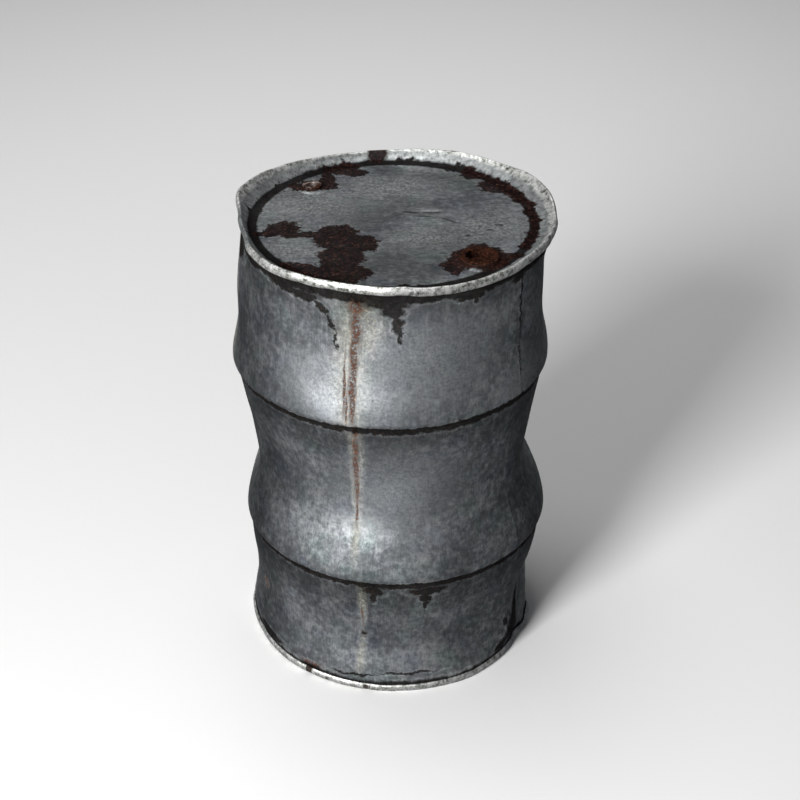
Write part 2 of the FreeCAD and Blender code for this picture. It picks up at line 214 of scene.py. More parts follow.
# the weld's bead: one column of the sheet bevelled narrow, and its middle line raised
bpy.ops.object.mode_set(mode="EDIT")
bpy.ops.mesh.select_mode(type="EDGE")
bpy.ops.mesh.select_all(action="DESELECT")
sheet = bmesh.from_edit_mesh(shell.data)
for edge in sheet.edges:
    edge.select = all(abs(azimuth_of(vertex.co) - WELD_AZIMUTH) < 0.4 for vertex in edge.verts)
bmesh.update_edit_mesh(shell.data)
bpy.ops.mesh.bevel(offset=WELD_WIDTH / 2 * MM, segments=2)
bpy.ops.mesh.select_all(action="DESELECT")
bpy.ops.mesh.select_mode(type="VERT")
sheet = bmesh.from_edit_mesh(shell.data)
for vertex in sheet.verts:
    vertex.select = abs(azimuth_of(vertex.co) - WELD_AZIMUTH) < 0.1 and 14 < vertex.co.z / MM < 866
sheet.select_flush(True)
bmesh.update_edit_mesh(shell.data)
bpy.ops.transform.translate(value=place_at(WELD_AZIMUTH, WELD_RISE * MM, 0))
bpy.ops.object.mode_set(mode="OBJECT")


def give_thickness(piece, thickness):
    """Leaves the sheet a finer mesh and a wall on its inner side, to be applied after the knocks."""
    smooth = piece.modifiers.new("smooth", "SUBSURF")
    smooth.levels = smooth.render_levels = 1
    wall = piece.modifiers.new("wall", "SOLIDIFY")
    wall.thickness = thickness * MM
    wall.offset = -1
    smooth.show_viewport = wall.show_viewport = False


give_thickness(shell, SHELL_SHEET)


# Mild steel sheet, once zinc-grey and now bare and dull: clouds and mottling of blue-grey a few
# centimetres and a few millimetres across, hair scratches, and a broken, half-rough shine.
STEEL_TONES = [(0.0, "#42474b"), (0.36, "#676c70"), (0.5, "#7c8185"), (0.64, "#979c9f"), (1.0, "#cdd0d1")]
STEEL_TINTS = [(0.36, "#76807d"), (0.46, "#848484"), (0.56, "#87878a"), (0.66, "#787c88")]
# near-black grime colours, also used for painted shade
GRIME_AND_SHADE_TONES = [(0.34, "#030202"), (0.5, "#090706"), (0.6, "#140e0a"), (0.72, "#2a1c12")]


def place_in_mm(tree):
    """Where a point of the piece lies in the drum's frame."""
    metres = add(tree, "ShaderNodeTexCoord").outputs["Object"]
    return add(tree, "ShaderNodeVectorMath", {0: metres, "Scale": 1 / MM}, operation="SCALE")


def steel_ground(tree, place, scratch_stretch, scratch_weight):
    """The bare sheet's colour and its fine relief; place is in mm."""
    clouds = add(tree, "ShaderNodeTexNoise", {"Vector": place, "Scale": 1 / 95, "Detail": 3, "Roughness": 0.5})
    mottle = add(tree, "ShaderNodeTexNoise", {"Vector": place, "Scale": 1 / 13, "Detail": 6, "Roughness": 0.7})
    stretched = add(tree, "ShaderNodeMapping", {"Vector": place, "Scale": scratch_stretch})
    scratch = add(tree, "ShaderNodeTexNoise", {"Vector": stretched, "Scale": 1, "Detail": 4, "Roughness": 0.7})
    clouded = add(tree, "ShaderNodeMath", {0: clouds, 1: 0.7, 2: mottle}, operation="MULTIPLY_ADD")
    scratched = add(
        tree, "ShaderNodeMath", {0: scratch, 1: scratch_weight, 2: clouded}, operation="MULTIPLY_ADD"
    )
    # each noise averages a half, so this is the middle of their sum
    middle = 0.85 + scratch_weight / 2
    level = add(
        tree, "ShaderNodeMapRange", {"Value": scratched, "From Min": middle - 0.37, "From Max": middle + 0.37}
    )
    tone = add(tree, "ShaderNodeValToRGB", {"Fac": level}, STEEL_TONES)
    hue = add(
        tree, "ShaderNodeTexNoise",
        {"Vector": place, "Scale": 1 / 60, "Detail": 2, "Roughness": 0.5, "W": 3.0},
        noise_dimensions="4D",
    )
    tint = add(tree, "ShaderNodeValToRGB", {"Fac": hue}, STEEL_TINTS)
    tinted = add(tree, "ShaderNodeMixRGB", {"Fac": 0.4, "Color1": tone, "Color2": tint}, blend_type="COLOR")
    return tinted, level


def ragged(tree, place, size, amount, stretch=(1, 1, 1)):
    """The place in mm, jogged by noise of a size in mm, so that a mark drawn on it gets a torn edge."""
    stretched = add(tree, "ShaderNodeMapping", {"Vector": place, "Scale": stretch})
    noise = add(
        tree, "ShaderNodeTexNoise", {"Vector": stretched, "Scale": 1 / size, "Detail": 7, "Roughness": 0.72}
    )
    centred = add(
        tree, "ShaderNodeVectorMath", {0: noise.outputs["Color"], 1: (0.5, 0.5, 0.5)}, operation="SUBTRACT"
    )
    return add(tree, "ShaderNodeVectorMath", {0: centred, 1: amount, 2: place}, operation="MULTIPLY_ADD")


def ovals(tree, place, marks, softness):
    """1 inside any of the ovals and 0 outside; each is x, y, half width, half height and turn."""
    at = add(tree, "ShaderNodeSeparateXYZ", {0: place})
    nearest = 10.0  # far outside every oval
    for x, y, half_width, half_height, turn in marks:
        # the last result rides along as z, so that the ovals are worked out one after another and
        # the renderer's stack never has to hold them all
        waiting = add(
            tree, "ShaderNodeCombineXYZ", {"X": at.outputs["X"], "Y": at.outputs["Y"], "Z": nearest}
        )
        local = add(
            tree, "ShaderNodeMapping",
            {
                "Vector": waiting, "Location": (x, y, 0), "Rotation": (0, 0, math.radians(turn)),
                "Scale": (half_width, half_height, 1e6),
            },
            vector_type="TEXTURE",
        )
        reach = add(tree, "ShaderNodeVectorMath", {0: local}, operation="LENGTH").outputs["Value"]
        nearest = add(tree, "ShaderNodeMath", {0: nearest, 1: reach}, operation="MINIMUM")
    return add(
        tree, "ShaderNodeMapRange", {"Value": nearest, "From Min": 1 + softness, "From Max": 1 - softness}
    )


def fade(tree, mask, value, start, end):
    """A mask, or a strength, brought in by a value: nothing at start and the whole of it at end."""
    share = add(tree, "ShaderNodeMapRange", {"Value": value, "From Min": start, "From Max": end})
    return add(tree, "ShaderNodeMath", {0: mask, 1: share}, operation="MULTIPLY")


def bands(tree, mask, value, spans):
    """A mask with bands added to it; each has its strength, and where the value brings it in and out."""
    for strength, *fades in spans:
        band = strength
        for start, end in fades:
            band = fade(tree, band, value, start, end)
        mask = add(tree, "ShaderNodeMath", {0: mask, 1: band}, operation="MAXIMUM")
    return mask


def cover(tree, mask, strength, under, over):
    """Lays one colour over another where the mask says."""
    share = add(tree, "ShaderNodeMath", {0: mask, 1: strength}, operation="MULTIPLY")
    return add(tree, "ShaderNodeMixRGB", {"Fac": share, "Color1": under, "Color2": over})


def finish_surface(tree, shader, colour, rust, grime_and_shade, relief):
    """Shine where the steel is bare, none where it is rusted, grimed or painted with shade, and the relief of
    all three.
    """
    dull = add(tree, "ShaderNodeMath", {0: rust, 1: grime_and_shade}, operation="MAXIMUM")
    bare = add(tree, "ShaderNodeMapRange", {"Value": dull, "To Min": 0.9, "To Max": 0.0})
    polish = add(tree, "ShaderNodeMapRange", {"Value": relief, "To Min": 0.56, "To Max": 0.42})
    rough = add(tree, "ShaderNodeMix", {0: dull, 2: polish, 3: 0.86})
    scale = add(tree, "ShaderNodeMath", {0: rust, 1: 0.6, 2: 0.25}, operation="MULTIPLY_ADD")
    bump = add(tree, "ShaderNodeBump", {"Strength": scale, "Distance": 1.2 * MM, "Height": relief})
    shader.inputs["Specular IOR Level"].default_value = 0.04
    for node, socket in ((colour, "Base Color"), (bare, "Metallic"), (rough, "Roughness"), (bump, "Normal")):
        tree.links.new(node.outputs[0], shader.inputs[socket])


# marks on the wall, as if the sheet were unrolled: mm round from the front, mm up, half width, half
# height and turn in degrees
RUST_RUNS = [
    (-62, 842, 16, 16, 0), (-64, 800, 10, 46, 0), (-68, 740, 8, 50, 0), (-70, 690, 8, 46, 0),
    (-69, 640, 6, 34, 0), (-84, 690, 2.2, 60, 0), (-80, 640, 2.6, 34, 0), (-66, 590, 5, 14, 0),
    (-68, 555, 5.5, 30, 0), (-70, 505, 7, 42, 0), (-71, 450, 5.5, 34, 0), (-72, 400, 3, 30, 0),
    (-60, 168, 2.5, 30, 0), (-172, 22, 26, 9, 4), (470, 700, 5, 90, 0), (478, 640, 3, 50, 0),
    (-420, 720, 6, 110, 0), (-412, 560, 4, 40, 0), (560, 420, 5, 120, 0), (-640, 500, 6, 90, 0),
    (760, 690, 8, 120, 0), (742, 800, 24, 30, 20), (-600, 812, 40, 24, -12), (470, 160, 30, 22, 30),
    (-760, 110, 44, 26, 10), (-330, 130, 14, 10, 0), (690, 90, 22, 30, 0), (-500, 330, 3, 80, 0),
]
PALE_RUNS = [
    (-58, 835, 30, 26, 0), (-74, 775, 24, 62, 0), (-76, 700, 24, 80, 0), (-74, 640, 19, 40, 0),
    (-38, 790, 16, 40, -14), (-68, 540, 12, 60, 0), (-71, 460, 9, 70, 0), (-72, 370, 7, 60, 0),
    (-60, 200, 8, 50, 0), (-62, 98, 8, 26, 0), (-66, 60, 7, 24, 0), (472, 690, 18, 120, 0),
    (-418, 690, 18, 140, 0), (560, 420, 16, 140, 0), (-640, 480, 18, 130, 0), (756, 690, 24, 150, 0),
    (-500, 320, 12, 110, 0), (-560, 790, 90, 30, 0),
]
GRIME_RUNS = [
    (-8, 850, 46, 12, 0), (1, 834, 22, 16, 0), (9, 810, 12, 24, 0), (14, 786, 6, 16, 0),
    (142, 848, 34, 9, 0), (154, 836, 9, 8, 0), (-208, 848, 44, 9, -3), (-160, 844, 34, 11, 0),
    (-128, 828, 20, 8, -37), (-110, 803, 17, 4, -68), (-101, 770, 20, 2.4, -84), (252, 846, 22, 9, 0),
    (265, 800, 3.4, 70, 0), (262, 700, 2.2, 66, 0), (-36, 236, 24, 12, 0), (-39, 220, 9, 13, 0),
    (66, 235, 46, 11, 0), (62, 217, 15, 14, 0), (62, 200, 6, 10, 0), (-58, 125, 7, 5, 0),
    (286, 50, 44, 24, 34), (316, 84, 36, 19, 50), (334, 116, 26, 15, 50), (246, 30, 24, 14, 0),
    (262, 76, 12, 9, 60), (300, 30, 30, 12, 10),
    (-75, 30, 56, 3.5, 4), (30, 38, 70, 3.5, 0), (-420, 838, 70, 18, 0), (610, 838, 90, 18, 0),
    (-760, 842, 60, 22, 0), (-300, 28, 60, 12, 0), (560, 30, 80, 14, 0), (-640, 34, 90, 14, 0),
    (500, 584, 26, 9, 0), (496, 574, 7, 12, 0), (-540, 584, 34, 9, 0), (-548, 570, 6, 16, 0),
    (640, 240, 46, 10, 0), (652, 226, 8, 14, 0), (-480, 240, 40, 9, 0), (-470, 228, 6, 12, 0),
]
# bright bare steel: rubbed patches, and towards the front of the belly a painted highlight where the light
# falls
SCOURED_AND_HIGHLIGHT = [
    (-112, 672, 66, 50, 0), (-30, 668, 70, 40, 0), (10, 462, 90, 70, 0), (70, 740, 100, 80, 0),
    (300, 640, 80, 40, 0), (-520, 660, 90, 50, 0), (620, 300, 90, 40, 0), (-700, 330, 80, 40, 0),
]
# dark patches: soot on the back, and painted shade on the wall's left and right edges, the two tall ovals
# about 350 mm either side of the front
SOOT_AND_EDGE_SHADE = [(-350, 440, 84, 520, 0), (352, 440, 76, 520, 0), (700, 560, 90, 90, 0), (-640, 720, 80, 60, 0)]

# bands round the wall: strength, and the heights over which each comes in and goes out
DIRT_AND_SHADE_BANDS = [  # dirt and painted shade packed under the top chime and in the crease below each hoop, and dirt along the foot
    (1.0, (846, 853)), (1.0, (584, 590), (609, 606)), (1.0, (239, 245), (262, 259)), (1.0, (27, 17)),
]
PAINTED_SHADE_BANDS = [  # painted shade, soft, under the top chime and below each hoop, deeper towards the seam and the creases
    (0.45, (800, 866)), (0.55, (520, 600), (612, 600)), (0.55, (170, 250), (262, 252)),
]

wall_steel, tree, shader = new_material("weathered_bare_sheet_steel_wall")
spot = place_in_mm(tree)
axes = add(tree, "ShaderNodeSeparateXYZ", {0: spot})
back = add(tree, "ShaderNodeMath", {0: axes.outputs["Y"], 1: -1}, operation="MULTIPLY")
turned = add(tree, "ShaderNodeMath", {0: axes.outputs["X"], 1: back}, operation="ARCTAN2")
arc = add(tree, "ShaderNodeMath", {0: turned, 1: SHELL_RADIUS}, operation="MULTIPLY")
unrolled = add(tree, "ShaderNodeCombineXYZ", {"X": arc, "Y": axes.outputs["Z"]})

colour, relief = steel_ground(tree, spot, (0.3, 0.3, 0.035), 0.4)

# rust and pale lime that rain has drawn down the wall, thin and broken, torn patches of dirt, and dark bands
# of dirt and painted shade under the chime and in the hoop creases
run_place = ragged(tree, unrolled, 7, (14, 22, 0), (1, 0.16, 1))
torn_place = ragged(tree, unrolled, 18, (34, 26, 0))
torn_height = add(tree, "ShaderNodeSeparateXYZ", {0: torn_place}).outputs["Y"]
grain = add(tree, "ShaderNodeTexNoise", {"Vector": spot, "Scale": 1 / 5, "Detail": 4, "Roughness": 0.7})
pale = fade(tree, ovals(tree, run_place, PALE_RUNS, 0.75), grain, 0.2, 0.62)
rust = fade(tree, ovals(tree, run_place, RUST_RUNS, 0.4), grain, 0.3, 0.52)
grime_and_shade = bands(tree, ovals(tree, torn_place, GRIME_RUNS, 0.3), torn_height, DIRT_AND_SHADE_BANDS)
# painted shade: soft dark bands under the top chime and below each hoop
painted_shade = bands(tree, 0.0, torn_height, PAINTED_SHADE_BANDS)

bright_steel_colour = add(
    tree, "ShaderNodeValToRGB", {"Fac": grain}, [(0.3, "#8f9498"), (0.5, "#c4c8cb"), (0.7, "#f0f2f3")]
)
pale_colour = add(
    tree, "ShaderNodeValToRGB", {"Fac": grain}, [(0.3, "#5c5b42"), (0.5, "#8d8970"), (0.7, "#c9c2b2")]
)
rust_colour = add(
    tree, "ShaderNodeValToRGB", {"Fac": grain},
    [(0.34, "#140907"), (0.47, "#2c140d"), (0.6, "#4c2a1a"), (0.75, "#86603f")],
)
grime_and_shade_colour = add(tree, "ShaderNodeValToRGB", {"Fac": grain}, GRIME_AND_SHADE_TONES)
# bright patches: rubbed steel, and the front ones a painted highlight
colour = cover(tree, ovals(tree, torn_place, SCOURED_AND_HIGHLIGHT, 0.9), 0.55, colour, bright_steel_colour)
# painted shade on the wall's edges, and soot
colour = cover(tree, ovals(tree, torn_place, SOOT_AND_EDGE_SHADE, 0.6), 0.5, colour, grime_and_shade_colour)
# painted shade under the top chime and the hoops
colour = cover(tree, painted_shade, 1.0, colour, grime_and_shade_colour)
colour = cover(tree, pale, 0.5, colour, pale_colour)
colour = cover(tree, rust, 0.95, colour, rust_colour)
colour = cover(tree, grime_and_shade, 0.96, colour, grime_and_shade_colour)

# lime dulls the steel half as much as rust does
limed = add(tree, "ShaderNodeMath", {0: pale, 1: 0.5}, operation="MULTIPLY")
crusted = add(tree, "ShaderNodeMath", {0: rust, 1: limed}, operation="MAXIMUM")
finish_surface(tree, shader, colour, crusted, grime_and_shade, relief)

shell.data.materials.append(wall_steel)
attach(shell, "drum")
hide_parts("body_shell")


# ---------------------------------------------------------------------------------------------
# The two heads
# Each is a 1.2 mm pressed disc: a sunken panel, a sloping countersink, and an edge folded down over
# the shell's hook and in under it. The fold is the drum's chime, the thick round rim it stands on.
# ---------------------------------------------------------------------------------------------

HEAD_SHEET = 1.2
DRUM_HEIGHT = 880

CHIME = [  # outside radius and depth below the end of the drum, from the cover hook to the panel
    (287.4, 4.6), (287.4, 12.6), (287.9, 14.9), (289.4, 15.9), (291.2, 15.2), (292.3, 12.8), (292.8, 9.4),
    (292.6, 5.8), (291.6, 2.6), (289.8, 0.7), (287.6, 0.0), (285.6, 0.7), (283.9, 2.4), (282.2, 4.4),
    (279.6, 6.6), (276.0, 8.9), (271.8, 11.0), (267.6, 12.8), (264.0, 13.8), (260.0, 14.2), (255.0, 14.2),
]
PANEL_STEP = 9.0
PANEL_DEPTH = 14.0
panel_rings = [(255.0 - PANEL_STEP * step, PANEL_DEPTH) for step in range(1, 28)]


def press_head(name, top):
    """One head, its rings run from the hidden cover hook over the chime to the middle of the panel."""
    rings = [(radius, DRUM_HEIGHT - depth if top else depth) for radius, depth in CHIME + panel_rings]
    piece = raise_rings(name, rings + [(6.0, rings[-1][1])])
    bpy.ops.object.mode_set(mode="EDIT")
    bpy.ops.mesh.merge(type="CENTER")
    bpy.ops.object.mode_set(mode="OBJECT")
    side = 1 if top else -1
    face_outwards(piece, (0, -150, rings[-1][1]), (0, 0, side))
    give_thickness(piece, HEAD_SHEET)
    return piece


top_head = press_head("top_head_sheet", True)
bottom_head = press_head("bottom_head_sheet", False)

# the raised bosses that the two bungs are clinched into: the panel is cut out and the pressing let in
BUNG_CIRCLE = 212
BUNG_AZIMUTH = 46.5
BOSSES = [
    # name, azimuth, hole radius, foot radius of the pressing
    ("large", BUNG_AZIMUTH, 33.85, 46.0),
    ("small", BUNG_AZIMUTH - 180, 16.55, 28.0),
]
cutters, pressings = [], []
for name, azimuth, hole, foot_radius in BOSSES:
    centre = place_at(azimuth, BUNG_CIRCLE, 0)
    outline = [
        (foot_radius + 4, 865.55), (foot_radius, 866.2), (foot_radius - 2.6, 867.4),
        (foot_radius - 4.4, 867.95), (hole + 1.0, 868.0), (hole, 867.8), (hole, 866.9),
        (foot_radius - 5.0, 866.75), (foot_radius - 3.2, 866.1), (foot_radius - 0.6, 865.0),
        (foot_radius + 4, 864.95), (foot_radius + 4, 865.55),
    ]
    pressing = raise_rings(f"{name}_boss", outline, 96, centre)
    bpy.ops.object.mode_set(mode="EDIT")
    bpy.ops.mesh.select_all(action="SELECT")
    bpy.ops.mesh.remove_doubles(threshold=0.00002)
    bpy.ops.mesh.normals_make_consistent(inside=False)
    bpy.ops.object.mode_set(mode="OBJECT")
    pressings.append(pressing)
    bpy.ops.object.select_all(action="DESELECT")
    bpy.ops.mesh.primitive_cylinder_add(
        vertices=96, radius=(foot_radius + 2) * MM, depth=0.02, location=(centre.x * MM, centre.y * MM, 0.866)
    )
    cutters.append(bpy.context.object)
for group, operation in ((cutters, "DIFFERENCE"), (pressings, "UNION")):
    bpy.ops.object.select_all(action="DESELECT")
    for tool in group:
        tool.select_set(True)
    bpy.context.view_layer.objects.active = group[0]
    bpy.ops.object.join()
    let_in = top_head.modifiers.new(operation.lower(), "BOOLEAN")
    let_in.operation = operation
    let_in.object = group[0]
    let_in.solver = "EXACT"
    let_in.show_viewport = False

# The same steel, flat under the weather: rust has eaten in from the countersink, where water stands,
# leaving a black ring, and torn patches of dark purple-brown with orange in their middle.
TOP_MARKS = {  # in plan: x and y from the drum's axis, half width, half height and turn
    "rust": [
        (-198, -24, 30, 30, 0), (-224, -44, 28, 13, 0), (-160, -50, 40, 14, 8), (-102, -56, 44, 50, 0),
        (-58, -88, 36, 34, 0), (-92, -138, 44, 52, 0), (-84, -200, 50, 38, 0), (-146, -194, 62, 24, -30),
        (153, -140, 56, 52, 0), (106, -178, 17, 30, 18), (200, -134, 34, 18, 0), (-160, 150, 40, 24, 0),
        (-124, 162, 22, 24, 0), (-126, 190, 14, 30, 0), (-104, 236, 42, 28, 0), (-76, 212, 28, 16, 0),
        (-150, 236, 36, 14, 42), (160, 204, 30, 24, 0), (188, 156, 32, 28, 0), (216, 142, 32, 22, -30),
        (240, 110, 24, 28, 0), (256, 60, 15, 50, 0), (260, 0, 12, 56, 0), (248, -70, 12, 50, -16),
    ],
    "rim rust": [
        (-32, 284, 20, 28, 0), (-98, -280, 4, 5, 0), (-159, -250, 3, 4, 20), (-76, -289, 18, 3, 10),
        (120, 268, 10, 7, 0),
    ],
    "cores": [(155, -143, 40, 34, 0), (-158, 148, 20, 12, 0)],
    "stains": [
        (100, 190, 70, 30, 0), (16, -170, 90, 66, 0), (-60, 10, 40, 30, 0), (110, -60, 50, 30, 0),
        (0, 60, 60, 26, 0),
    ],
    "scoured": [
        (-150, 70, 90, 70, 0), (176, -20, 76, 70, 0), (-188, -108, 40, 36, 0), (0, 150, 90, 40, 0),
        (60, -60, 60, 30, 0),
    ],
    "creases": [
        (34, 43, 24, 4.4, -14), (72, 40, 28, 4.0, -6), (104, 8, 30, 3.4, -34), (64, 22, 30, 2.6, -10),
        (193, -11, 11, 5, -8), (174, -31, 8, 4, 0), (136, -53, 7, 5, 0),
    ],
}
BOTTOM_MARKS = {
    "rust": [
        (120, 240, 60, 24, -30), (-200, 120, 50, 60, 20), (60, -120, 60, 34, 20), (220, -60, 30, 70, 0),
        (-90, 230, 60, 20, 15), (-40, 40, 34, 22, 0),
    ],
    "rim rust": [
        (-168, -240, 26, 9, 35), (-60, -290, 16, 4, 0), (200, 214, 30, 10, -45), (-250, 150, 10, 30, -20),
    ],
    "cores": [(70, -118, 30, 20, 0), (-204, 116, 30, 34, 0)],
    "stains": TOP_MARKS["stains"],
    "scoured": TOP_MARKS["scoured"],
    "creases": TOP_MARKS["creases"][:2],
}

# spans of distance from the drum's axis: the black ring's torn edges and its unbroken middle, the
# edge that rust stops at, the sloping inside of the chime, and the chime's crown
TORN_RING = [(1.0, (246, 252), (270, 264))]
RING_MIDDLE = [(1.0, (245, 250), (270, 265))]
RUST_EDGE = (274, 268)
CHIME_SLOPE = (264, 274)
CHIME_CROWN = (281, 287)


def weather_head(piece, name, marks):
    """The finish of one head."""
    material, tree, shader = new_material(name)
    spot = place_in_mm(tree)
    colour, relief = steel_ground(tree, spot, (0.04, 0.24, 0.3), 0.6)
    plan = add(tree, "ShaderNodeVectorMath", {0: spot, 1: (1, 1, 0)}, operation="MULTIPLY")
    torn = ragged(tree, plan, 26, (62, 62, 0))
    torn_radius = add(tree, "ShaderNodeVectorMath", {0: torn}, operation="LENGTH").outputs["Value"]
    radius = add(tree, "ShaderNodeVectorMath", {0: plan}, operation="LENGTH").outputs["Value"]
    grain = add(tree, "ShaderNodeTexNoise", {"Vector": spot, "Scale": 1 / 6, "Detail": 5, "Roughness": 0.75})
    worn = add(tree, "ShaderNodeTexNoise", {"Vector": spot, "Scale": 1 / 11, "Detail": 5, "Roughness": 0.8})

    panel_rust = fade(tree, ovals(tree, torn, marks["rust"], 0.08), torn_radius, *RUST_EDGE)
    rim_rust = ovals(tree, ragged(tree, plan, 12, (16, 16, 0)), marks["rim rust"], 0.2)
    rust = add(tree, "ShaderNodeMath", {0: panel_rust, 1: rim_rust}, operation="MAXIMUM")
    core = add(
        tree, "ShaderNodeMath", {0: rust, 1: ovals(tree, torn, marks["cores"], 0.6)}, operation="MULTIPLY"
    )
    ring = bands(tree, bands(tree, 0.0, torn_radius, TORN_RING), radius, RING_MIDDLE)
    # dark lines along the panel's buckle: painted shade in its folds, with dirt
    crease = ovals(tree, ragged(tree, plan, 9, (5, 5, 0)), marks["creases"], 0.4)
    stain = ovals(tree, torn, marks["stains"], 0.8)
    scoured = ovals(tree, torn, marks["scoured"], 0.8)
    # the chime is rubbed bright on its crown, and speckled where the zinc has gone
    crown = fade(tree, 1.0, radius, *CHIME_CROWN)
    slope = fade(tree, 0.75, radius, *CHIME_SLOPE)

    stain_colour = add(tree, "ShaderNodeValToRGB", {"Fac": grain}, [(0.3, "#2e322f"), (0.7, "#5f645a")])
    bright_steel_colour = add(
        tree, "ShaderNodeValToRGB", {"Fac": grain}, [(0.36, "#64676a"), (0.5, "#a2a4a3"), (0.64, "#e2e4e2")]
    )
    slope_colour = add(
        tree, "ShaderNodeValToRGB", {"Fac": worn},
        [(0.32, "#4c4d4b"), (0.44, "#949796"), (0.58, "#bfc2c1"), (0.7, "#dcdfde")],
    )
    crown_colour = add(
        tree, "ShaderNodeValToRGB", {"Fac": worn},
        [(0.32, "#2f2d29"), (0.41, "#8d8f88"), (0.49, "#cfd1cc"), (0.6, "#fafaf8")],
    )
    rust_colour = add(
        tree, "ShaderNodeValToRGB", {"Fac": grain},
        [(0.38, "#060303"), (0.5, "#150b0a"), (0.6, "#2b1814"), (0.72, "#6e5040")],
    )
    core_colour = add(
        tree, "ShaderNodeValToRGB", {"Fac": grain},
        [(0.3, "#0e0706"), (0.47, "#24120d"), (0.6, "#472619"), (0.74, "#8a5a38")],
    )
    grime_and_shade_colour = add(tree, "ShaderNodeValToRGB", {"Fac": grain}, GRIME_AND_SHADE_TONES)
    colour = cover(tree, stain, 0.5, colour, stain_colour)
    colour = cover(tree, scoured, 0.62, colour, bright_steel_colour)
    colour = cover(tree, slope, 1.0, colour, slope_colour)
    colour = cover(tree, crown, 1.0, colour, crown_colour)
    colour = cover(tree, ring, 0.97, colour, grime_and_shade_colour)
    colour = cover(tree, crease, 0.85, colour, grime_and_shade_colour)
    colour = cover(tree, rust, 0.97, colour, rust_colour)
    colour = cover(tree, core, 0.85, colour, core_colour)
    grime_and_shade = add(tree, "ShaderNodeMath", {0: ring, 1: crease}, operation="MAXIMUM")
    finish_surface(tree, shader, colour, rust, grime_and_shade, relief)
    piece.data.materials.append(material)


weather_head(top_head, "weathered_bare_sheet_steel_top", TOP_MARKS)
weather_head(bottom_head, "weathered_bare_sheet_steel_underside", BOTTOM_MARKS)
for piece, node in ((top_head, "top_head"), (bottom_head, "bottom_head")):
    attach(piece, "drum")
    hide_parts(node)


# ---------------------------------------------------------------------------------------------
# The sealing compound
# A ring of rubbery paste, dried hard, squeezed between the fold of each head and the shell's hook.
# ---------------------------------------------------------------------------------------------

# Dried solvent rubber: nearly black, dusty brown where it has cracked, with hardly any shine.
compound_paste, tree, shader = new_material("dried_rubber_seam_compound")
spot = add(tree, "ShaderNodeTexCoord").outputs["Object"]
cracks = add(
    tree, "ShaderNodeTexNoise", {"Vector": spot, "Scale": 1 / (6 * MM), "Detail": 4, "Roughness": 0.7}
)
paste_colour = add(
    tree, "ShaderNodeValToRGB", {"Fac": cracks}, [(0.35, "#15130f"), (0.6, "#2b2620"), (0.75, "#4d4335")]
)
tree.links.new(paste_colour.outputs["Color"], shader.inputs["Base Color"])
shader.inputs["Roughness"].default_value = 0.85
bump = add(tree, "ShaderNodeBump", {"Strength": 0.5, "Distance": 0.4 * MM, "Height": cracks})
tree.links.new(bump.outputs["Normal"], shader.inputs["Normal"])


def squeeze_compound(name, node, top):
    """A closed ring of compound that follows the outside of the shell's hook."""
    profile = [(289.85, 13.0), (289.85, 3.0), (288.6, 1.95), (287.2, 1.95), (286.2, 3.6)]
    back = [(radius + 0.35, depth - 0.25) for radius, depth in profile[:3]]
    back += [(287.0, 1.7), (285.95, 3.4)]
    loop = profile + back[::-1] + profile[:1]
    rings = [(radius, DRUM_HEIGHT - depth if top else depth) for radius, depth in loop]
    piece = raise_rings(name, rings)
    bpy.ops.object.mode_set(mode="EDIT")
    bpy.ops.mesh.select_all(action="SELECT")
    bpy.ops.mesh.remove_doubles(threshold=0.00002)
    bpy.ops.mesh.normals_make_consistent(inside=False)
    bpy.ops.object.mode_set(mode="OBJECT")
    piece.data.materials.append(compound_paste)
    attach(piece, "drum")
    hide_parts(node)
    return piece


top_compound = squeeze_compound("top_compound_ring", "top_seam_compound", True)
bottom_compound = squeeze_compound("bottom_compound_ring", "bottom_seam_compound", False)


# ---------------------------------------------------------------------------------------------
# The knocks
# The drum has been rolled, dropped and stacked for years: its chimes are bent, its wall leans and
# its panel is creased. Each knock moves the sheets together, so that the seams stay closed.
# ---------------------------------------------------------------------------------------------

SHEETS = [shell, top_head, bottom_head, top_compound, bottom_compound]


def knock(gripped, push, reach):
    """Moves the vertices for which gripped(point in mm) holds by push mm, and drags what is in reach."""
    bpy.ops.object.select_all(action="DESELECT")
    for piece in SHEETS:
        piece.select_set(True)
    bpy.context.view_layer.objects.active = shell
    bpy.ops.object.mode_set(mode="EDIT")
    bpy.ops.mesh.select_all(action="DESELECT")
    for piece in SHEETS:
        sheet = bmesh.from_edit_mesh(piece.data)
        for vertex in sheet.verts:
            vertex.select = gripped(vertex.co / MM)
        sheet.select_flush(True)
        bmesh.update_edit_mesh(piece.data)
    bpy.ops.transform.translate(
        value=[step * MM for step in push],
        use_proportional_edit=True,
        proportional_edit_falloff="SMOOTH",
        proportional_size=reach * MM,
    )
    bpy.ops.object.mode_set(mode="OBJECT")


def push_at(azimuth, inwards, upwards):
    """A push in mm at an azimuth: towards the drum's axis and up."""
    turn = math.radians(azimuth)
    return Vector((-math.sin(turn) * inwards, math.cos(turn) * inwards, upwards))


# the lean of the wall: whole rings shifted sideways
LEANS = [  # height, push, reach
    (610, (-6, 0, 0), 170),
    (262, (4, 0, 0), 130),
    (100, (-6, 0, 0), 110),
]
for height, push, reach in LEANS:
    knock(lambda point: abs(point.z - height) < 6, push, reach)

